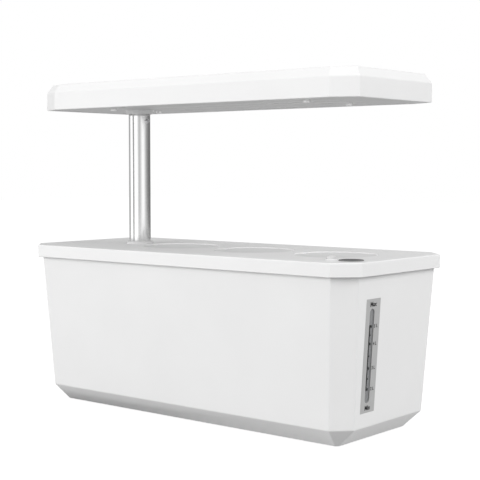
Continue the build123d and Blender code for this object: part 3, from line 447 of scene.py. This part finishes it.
def add_bar(shape, left, right, bottom, top):
    """A thin bar printed on the window, between four places on the gauge's own axes."""
    outline = ((left, bottom), (right, bottom), (right, top), (left, top))
    sides = ((3, 2, 1, 0), (4, 5, 6, 7), (0, 1, 5, 4), (1, 2, 6, 5), (2, 3, 7, 6), (3, 0, 4, 7))
    corners = []
    for z in (window_face, window_face + mark_thickness):
        for x, y in outline:
            corners.append(shape.verts.new(on_gauge @ Vector((x, y, z))))
    for side in sides:
        shape.faces.new([corners[index] for index in side])


def add_tick(shape, reach, height, width):
    """A tick that runs out from the edge of the scale's line."""
    add_bar(shape, line_edge, line_edge + reach, height - width / 2, height + width / 2)


def add_words(shape, words, size, x, y):
    """Letters or a number printed on the strip, centred at a place on the gauge's own axes."""
    letters = bpy.data.curves.new("letters", "FONT")
    letters.body = words
    letters.size = size
    letters.align_x = "CENTER"
    letters.align_y = "CENTER"
    letters.extrude = mark_thickness / 2
    letters.offset = size * stroke_share
    letters.resolution_u = letter_steps
    holder = add_object("letters", letters)
    shown = holder.evaluated_get(bpy.context.evaluated_depsgraph_get())
    mesh = bpy.data.meshes.new_from_object(shown)
    mesh.transform(on_gauge @ Matrix.Translation((x, y, mark_thickness / 2)))
    shape.from_mesh(mesh)
    bpy.data.objects.remove(holder)


marks = bmesh.new()
line_top = major_marks[0][0] + major_width / 2
line_foot = major_marks[-1][0] - major_width / 2
add_bar(marks, line_x, line_edge, line_foot, line_top)
for height, number in major_marks:
    add_tick(marks, major_tick, height, major_width)
    add_words(marks, number, number_size, number_x, height)
for (above, _), (below, _) in zip(major_marks, major_marks[1:]):
    for step in range(1, fine_per_major):
        height = above + (below - above) * step / fine_per_major
        if 2 * step == fine_per_major:
            add_tick(marks, middle_tick, height, middle_width)
        else:
            add_tick(marks, fine_tick, height, fine_width)
add_words(marks, "Max", word_size, slot_offset, max_height)
add_words(marks, "Min", word_size, slot_offset, min_height)
mark_mesh = bpy.data.meshes.new("gauge_marks")
marks.to_mesh(mark_mesh)
marks.free()
mark_ink = moulded("mark_ink", grey(0.006), roughness=0.8, grain=0.2 * mm)
mark_mesh.materials.append(mark_ink)
gauge_marks = add_object("gauge_marks", mark_mesh)
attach(gauge_marks, "tub")


# Small steel parts: the screws of the gauge's guide and of the control box, the lock screw at the
# pole's top, the nut of the power inlet and the pump's shaft. They are turned from bright steel, which
# leaves very fine marks and slow changes of gloss.
def metal(name, colour, roughness, grain, stretch=(1.0, 1.0, 1.0)):
    """Bare or anodised metal with fine marks, stretched along an axis where it was drawn."""
    mark_detail = 3.0
    mark_strength = 0.35
    mark_depth = 0.004 * mm
    cloud_scale = 25.0
    dark_share = 0.94
    smoother = 0.05
    rougher = 0.07
    material, tree, surface = new_surface(name)
    surface.inputs["Metallic"].default_value = 1.0
    coords = add_node(tree, "ShaderNodeTexCoord")
    drawn = add_node(tree, "ShaderNodeMapping", {"Scale": stretch})
    lines = add_node(tree, "ShaderNodeTexNoise", {"Scale": 1.0 / grain, "Detail": mark_detail})
    cloud = add_node(tree, "ShaderNodeTexNoise", {"Scale": cloud_scale})
    tint = two_tones(tree, paint(colour, dark_share), paint(colour))
    polish = add_node(tree, "ShaderNodeMapRange", {
        "To Min": roughness - smoother,
        "To Max": roughness + rougher,
    })
    relief = add_node(tree, "ShaderNodeBump", {"Strength": mark_strength, "Distance": mark_depth})
    tree.links.new(coords.outputs["Object"], drawn.inputs["Vector"])
    tree.links.new(drawn.outputs["Vector"], lines.inputs["Vector"])
    tree.links.new(coords.outputs["Object"], cloud.inputs["Vector"])
    tree.links.new(cloud.outputs["Fac"], tint.inputs["Fac"])
    tree.links.new(lines.outputs["Fac"], polish.inputs["Value"])
    tree.links.new(lines.outputs["Fac"], relief.inputs["Height"])
    tree.links.new(tint.outputs["Color"], surface.inputs["Base Color"])
    tree.links.new(polish.outputs["Result"], surface.inputs["Roughness"])
    tree.links.new(relief.outputs["Normal"], surface.inputs["Normal"])
    return material


screw_steel = metal("screw_steel_turned", (0.62, 0.62, 0.63), roughness=0.30, grain=0.12 * mm)
dress(screw_steel, "guide_screws", "control_screws", "lock_screw", "inlet_nut", "pump_shaft")


# Lid: a white moulding with a skirt over the tub's rim, the three planting wells and the fill port.
# The mould leaves a small radius on its long outer edges.
lid_edge_radius = 0.75 * mm

lid_plastic = moulded("lid_plastic", grey(0.81), roughness=0.36)
lid_shell = softened("lid", "lid_shell", lid_edge_radius, lid_plastic)
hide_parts("lid")
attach(lid_shell, "lid")


# Fill port: a soft ring of dark grey rubber that grips the edge of the hole in the lid's right front
# corner. Its skin is fine and half matt.
ring_rubber = moulded("ring_rubber", grey(0.17), roughness=0.6, grain=0.3 * mm)
dress(ring_rubber, "fill_ring")


# Control button, its trim ring and the pole's sleeve: small separate mouldings, the ring off-white
# and the other two light grey. Below the lid the sealed control box, the sleeve's nut, the pump's
# stand pipe and the lead's clips are plain off-white plastic, and the box holds a green board.
trim_plastic = moulded("trim_plastic", grey(0.76), roughness=0.28)
dress(trim_plastic, "button_bezel")
button_plastic = moulded("button_plastic", grey(0.60), roughness=0.30)
dress(button_plastic, "control_button")
socket_plastic = moulded("socket_plastic", grey(0.62), roughness=0.40)
dress(socket_plastic, "pole_socket")
inside_plastic = moulded("inside_plastic", (0.66, 0.66, 0.65), roughness=0.50, grain=0.6 * mm)
dress(inside_plastic, "control_box", "control_cover", "socket_nut", "stand_pipe", "lead_clips")
green_laminate = moulded(
    "board_laminate", (0.03, 0.13, 0.06), roughness=0.38, grain=1.2 * mm, depth=0.03 * mm,
)
dress(green_laminate, "control_board")


# Baskets and covers: thin off-white mouldings, the covers dished with a finger notch.
# They are slightly more matt than the lid.
basket_plastic = moulded("basket_plastic", (0.70, 0.70, 0.69), roughness=0.48)
# The covers' grey, darker than the lid's, is partly their own off-white and partly painted shade for
# the dark look of their dished tops.
cover_painted_shade_plastic = moulded("cover_painted_shade_plastic", grey(0.70), roughness=0.38)
for count in (1, 2, 3):
    dress(basket_plastic, f"basket_{count}")
    dress(cover_painted_shade_plastic, f"well_cover_{count}")


# Growing sponges: damp brown foam plugs with open pores and a seed hole in the middle.
# The foam is cut, so its whole skin is rough and pitted.
sponge_cell = 1.15 * mm
pore_size = 3.2 * mm
pore_depth = 1.1 * mm
fine_pore = 1.4 * mm
fine_depth = 0.5 * mm
fine_strength = 0.9
damp_scale = 60.0
damp_detail = 4.0
dark_brown = (0.035, 0.020, 0.011)
light_brown = (0.105, 0.062, 0.034)
foam_roughness = 0.9
foam_sheen = 0.15

pore_pattern = bpy.data.textures.new("sponge_pores", "VORONOI")
pore_pattern.noise_scale = pore_size
pore_pattern.distance_metric = "DISTANCE_SQUARED"

sponge_foam, tree, foam = new_surface("sponge_foam")
foam.inputs["Roughness"].default_value = foam_roughness
foam.inputs["Sheen Weight"].default_value = foam_sheen
coords = add_node(tree, "ShaderNodeTexCoord")
pores = add_node(tree, "ShaderNodeTexVoronoi", {"Scale": 1.0 / fine_pore})
damp = add_node(tree, "ShaderNodeTexNoise", {"Scale": damp_scale, "Detail": damp_detail})
browns = two_tones(tree, paint(dark_brown), paint(light_brown))
cells = add_node(tree, "ShaderNodeBump", {"Strength": fine_strength, "Distance": fine_depth})
tree.links.new(coords.outputs["Object"], pores.inputs["Vector"])
tree.links.new(coords.outputs["Object"], damp.inputs["Vector"])
tree.links.new(damp.outputs["Fac"], browns.inputs["Fac"])
tree.links.new(pores.outputs["Distance"], cells.inputs["Height"])
tree.links.new(browns.outputs["Color"], foam.inputs["Base Color"])
tree.links.new(cells.outputs["Normal"], foam.inputs["Normal"])

for count in (1, 2, 3):
    shape = bmesh.new()
    shape.from_mesh(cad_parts[f"sponge_{count}"].data)
    bmesh.ops.remove_doubles(shape, verts=shape.verts, dist=merge_distance)
    mesh = bpy.data.meshes.new(f"growing_sponge_{count}")
    shape.to_mesh(mesh)
    shape.free()
    sponge = add_object(f"growing_sponge_{count}", mesh)
    cut = sponge.modifiers.new("cut_foam", "REMESH")
    cut.mode = "VOXEL"
    cut.voxel_size = sponge_cell
    pits = sponge.modifiers.new("pores", "DISPLACE")
    pits.texture = pore_pattern
    pits.texture_coords = "LOCAL"
    pits.mid_level = 1.0
    pits.strength = pore_depth
    plain_mesh(sponge)
    sponge.data.materials.clear()
    sponge.data.materials.append(sponge_foam)
    sponge.data.shade_smooth()
    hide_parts(f"sponge_{count}")
    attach(sponge, f"pod_{count}")


# Pole: two tubes of polished and anodised aluminium, the upper one sliding in a plastic bush in the
# lower one. Drawing leaves very fine lines along them. The plug in the upper tube's foot and the nut
# of the lamp's collar are of the bush's light grey plastic.
drawn_stretch = (1.0, 1.0, 0.01)

pole_metal = metal(
    "pole_anodised", grey(0.82), roughness=0.13, grain=0.25 * mm, stretch=drawn_stretch,
)
dress(pole_metal, "outer_pole", "inner_pole")
bush_plastic = moulded("bush_plastic", grey(0.62), roughness=0.45)
dress(bush_plastic, "pole_bush", "pole_foot", "boss_nut")


# Lamp: a long white shell with a bevelled top and rounded edges, on a flared collar on the pole.
# A flat satin panel with four milky windows closes it below. Inside it are the white light board and
# the black power unit, whose inlet is let into the back wall.
lamp_edge_radius = 0.7 * mm

lamp_plastic = moulded("lamp_plastic", grey(0.82), roughness=0.32)
lamp_case = softened("lamp_shell", "lamp_case", lamp_edge_radius, lamp_plastic)
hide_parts("lamp_shell")
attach(lamp_case, "lamp")
dress(lamp_plastic, "lamp_boss")
# The panel's grey is painted shade: it is darker than the shell's white plastic to stand in for the
# shade under the lamp.
panel_painted_shade_plastic = moulded(
    "panel_painted_shade_plastic", grey(0.51), roughness=0.45, grain=0.6 * mm, depth=0.02 * mm,
)
dress(panel_painted_shade_plastic, "lamp_panel")
lens_plastic = clear_plastic("lens_plastic", grey(0.86), roughness=0.35, clear_share=0.45)
dress(lens_plastic, "light_lenses")
white_laminate = moulded(
    "lamp_board_laminate", (0.74, 0.74, 0.72), roughness=0.40, grain=0.9 * mm, depth=0.02 * mm,
)
dress(white_laminate, "light_board")
unit_plastic = moulded(
    "unit_plastic", grey(0.02), roughness=0.5, grain=0.5 * mm, depth=0.04 * mm,
)
dress(unit_plastic, "power_unit", "power_inlet")


# Panel screws: four bright steel screws with a pan head and a cross recess, which hold the panel to
# the lamp's shell. They are one small form repeated on a grid, so a node tree makes them.
head_radius = 3.0 * mm
head_height = 1.5 * mm
head_sides = 40
shank_radius = 1.45 * mm
shank_length = 8.2 * mm
shank_sides = 20
arm_length_share = 1.15
arm_width_share = 0.26
recess_height_share = 1.2
recess_place_share = -1.05
screw_counts = (2, 2)
screw_pitches = (241 * mm, 66 * mm)
panel_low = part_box("lamp_panel")[0].z


def multiplied(tree, first, second):
    """A socket times a share or another socket."""
    product = add_node(tree, "ShaderNodeMath")
    product.operation = "MULTIPLY"
    tree.links.new(first, product.inputs[0])
    if isinstance(second, float):
        product.inputs[1].default_value = second
    else:
        tree.links.new(second, product.inputs[1])
    return product.outputs[0]


def repeated(name, form, sizes, counts, pitches, middle, material):
    """One small form repeated on a grid, by a tree with named inputs, as a plain mesh."""
    floats = {**sizes, "Pitch Along": pitches[0], "Pitch Across": pitches[1]}
    wholes = {"Count Along": counts[0], "Count Across": counts[1]}
    kinds = {
        "NodeSocketFloat": floats,
        "NodeSocketInt": wholes,
        "NodeSocketVector": {"Middle": middle},
    }
    tree = bpy.data.node_groups.new(name, "GeometryNodeTree")
    tree.interface.new_socket(name="Geometry", in_out="OUTPUT", socket_type="NodeSocketGeometry")
    settings = {}
    for kind, values in kinds.items():
        for label, value in values.items():
            socket = tree.interface.new_socket(name=label, in_out="INPUT", socket_type=kind)
            settings[socket.identifier] = value
    given = add_node(tree, "NodeGroupInput")

    def span(pitch, count):
        """The length of the grid along one of its sides."""
        gaps = add_node(tree, "ShaderNodeMath", {1: 1.0})
        gaps.operation = "SUBTRACT"
        tree.links.new(given.outputs[count], gaps.inputs[0])
        return multiplied(tree, given.outputs[pitch], gaps.outputs[0])

    grid = add_node(tree, "GeometryNodeMeshGrid")
    tree.links.new(span("Pitch Along", "Count Along"), grid.inputs["Size X"])
    tree.links.new(span("Pitch Across", "Count Across"), grid.inputs["Size Y"])
    tree.links.new(given.outputs["Count Along"], grid.inputs["Vertices X"])
    tree.links.new(given.outputs["Count Across"], grid.inputs["Vertices Y"])
    placed = add_node(tree, "GeometryNodeTransform")
    tree.links.new(grid.outputs["Mesh"], placed.inputs["Geometry"])
    tree.links.new(given.outputs["Middle"], placed.inputs["Translation"])
    copies = add_node(tree, "GeometryNodeInstanceOnPoints")
    tree.links.new(placed.outputs["Geometry"], copies.inputs["Points"])
    tree.links.new(form(tree, given), copies.inputs["Instance"])
    real = add_node(tree, "GeometryNodeRealizeInstances")
    tree.links.new(copies.outputs["Instances"], real.inputs["Geometry"])
    finish = add_node(tree, "GeometryNodeSetMaterial", {"Material": material})
    tree.links.new(real.outputs["Geometry"], finish.inputs["Geometry"])
    out = add_node(tree, "NodeGroupOutput")
    tree.links.new(finish.outputs["Geometry"], out.inputs[0])

    piece = add_object(name, bpy.data.meshes.new(name))
    maker = piece.modifiers.new(name, "NODES")
    maker.node_group = tree
    for identifier, value in settings.items():
        maker[identifier] = value
    return plain_mesh(piece)


def raised(tree, shape, height):
    """A form moved along Z by a height."""
    lift = add_node(tree, "ShaderNodeCombineXYZ")
    tree.links.new(height, lift.inputs["Z"])
    moved = add_node(tree, "GeometryNodeTransform")
    tree.links.new(shape, moved.inputs["Geometry"])
    tree.links.new(lift.outputs[0], moved.inputs["Translation"])
    return moved.outputs["Geometry"]


def slab(tree, along, across, deep):
    """A box from three sockets."""
    size = add_node(tree, "ShaderNodeCombineXYZ")
    tree.links.new(along, size.inputs["X"])
    tree.links.new(across, size.inputs["Y"])
    tree.links.new(deep, size.inputs["Z"])
    box = add_node(tree, "GeometryNodeMeshCube")
    tree.links.new(size.outputs[0], box.inputs["Size"])
    return box.outputs["Mesh"]


def drum(tree, radius, deep, sides):
    """A round form from two sockets."""
    made = add_node(tree, "GeometryNodeMeshCylinder", {"Vertices": sides})
    tree.links.new(radius, made.inputs["Radius"])
    tree.links.new(deep, made.inputs["Depth"])
    return made.outputs["Mesh"]


def joined(tree, *shapes):
    """Several forms as one."""
    join = add_node(tree, "GeometryNodeJoinGeometry")
    for shape in shapes:
        tree.links.new(shape, join.inputs["Geometry"])
    return join.outputs["Geometry"]


def screw_form(tree, given):
    """A pan head with a cross recess, and its shank above it."""
    radius = given.outputs["Head Radius"]
    height = given.outputs["Head Height"]
    head = raised(tree, drum(tree, radius, height, head_sides), multiplied(tree, height, -0.5))
    arm_length = multiplied(tree, radius, arm_length_share)
    arm_width = multiplied(tree, radius, arm_width_share)
    recess_height = multiplied(tree, height, recess_height_share)
    recess_place = multiplied(tree, height, recess_place_share)
    cut = add_node(tree, "GeometryNodeMeshBoolean")
    cut.operation = "DIFFERENCE"
    cut.solver = "EXACT"
    tree.links.new(head, cut.inputs["Mesh 1"])
    for along, across in ((arm_length, arm_width), (arm_width, arm_length)):
        arm = slab(tree, along, across, recess_height)
        tree.links.new(raised(tree, arm, recess_place), cut.inputs["Mesh 2"])
    length = given.outputs["Shank Length"]
    shank = drum(tree, given.outputs["Shank Radius"], length, shank_sides)
    return joined(tree, cut.outputs["Mesh"], raised(tree, shank, multiplied(tree, length, 0.5)))


bright_steel = metal("panel_screw_steel", grey(0.92), roughness=0.30, grain=0.12 * mm)
panel_screws = repeated(
    "panel_cross_screws", screw_form,
    {
        "Head Radius": head_radius, "Head Height": head_height,
        "Shank Radius": shank_radius, "Shank Length": shank_length,
    },
    screw_counts, screw_pitches, (0.0, 0.0, panel_low), bright_steel,
)
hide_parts("panel_screws")
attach(panel_screws, "lamp")


# Light chips: each window has a row of them, a white ceramic body with a round yellow phosphor face
# and two solder tabs, soldered to the board. They repeat on a grid as the screws do.
chip_size = 2.8 * mm
chip_height = 0.65 * mm
tab_length_share = 1.16
tab_width_share = 0.55
tab_height_share = 0.3
face_radius = 1.15 * mm
face_height = 0.78 * mm
face_sides = 20
chip_counts = (12, 4)
chip_pitches = (21 * mm, 33 * mm)
board_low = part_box("light_board")[0].z
lights_low, lights_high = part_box("lights")
lights_middle = (lights_low + lights_high) / 2
chip_middle = (lights_middle.x, lights_middle.y, board_low)


def chip_form(tree, given):
    """The ceramic body of a light chip with its two solder tabs."""
    size = given.outputs["Chip Size"]
    height = given.outputs["Chip Height"]
    body = slab(tree, size, size, height)
    tab_height = multiplied(tree, height, tab_height_share)
    tabs = slab(
        tree, multiplied(tree, size, tab_length_share), multiplied(tree, size, tab_width_share),
        tab_height,
    )
    return joined(
        tree,
        raised(tree, body, multiplied(tree, height, -0.5)),
        raised(tree, tabs, multiplied(tree, tab_height, -0.5)),
    )


def phosphor_form(tree, given):
    """The round phosphor face of a light chip."""
    height = given.outputs["Face Height"]
    face = drum(tree, given.outputs["Face Radius"], height, face_sides)
    return raised(tree, face, multiplied(tree, height, -0.5))


chip_bodies = repeated(
    "chip_bodies", chip_form, {"Chip Size": chip_size, "Chip Height": chip_height},
    chip_counts, chip_pitches, chip_middle, white_laminate,
)
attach(chip_bodies, "lamp")
phosphor = moulded("chip_phosphor", (0.80, 0.62, 0.12), roughness=0.5, grain=0.1 * mm)
chip_faces = repeated(
    "chip_faces", phosphor_form, {"Face Radius": face_radius, "Face Height": face_height},
    chip_counts, chip_pitches, chip_middle, phosphor,
)
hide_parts("lights")
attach(chip_faces, "lamp")


# Pump: a black moulded housing with a slotted cap, hanging on the stand pipe, and its white rotor.
# It sits in the dark of the tub and is seen only when the lid is lifted.
pump_plastic = moulded(
    "pump_plastic", (0.022, 0.022, 0.024), roughness=0.42, grain=0.5 * mm, depth=0.03 * mm,
)
dress(pump_plastic, "pump_housing", "pump_cap")
rotor_plastic = moulded("rotor_plastic", (0.64, 0.64, 0.62), roughness=0.4)
dress(rotor_plastic, "pump_rotor")


# Leads: round black leads below the lid and inside the pole and the lamp, with a slightly soft
# sheath. The one in the pole is coiled so that the lamp can rise.
lead_sheath = moulded(
    "lead_sheath", grey(0.018), roughness=0.55, grain=0.3 * mm, depth=0.02 * mm,
)
dress(lead_sheath, "pump_lead", "control_lead", "coiled_lead", "lamp_lead", "light_lead", "inlet_lead")
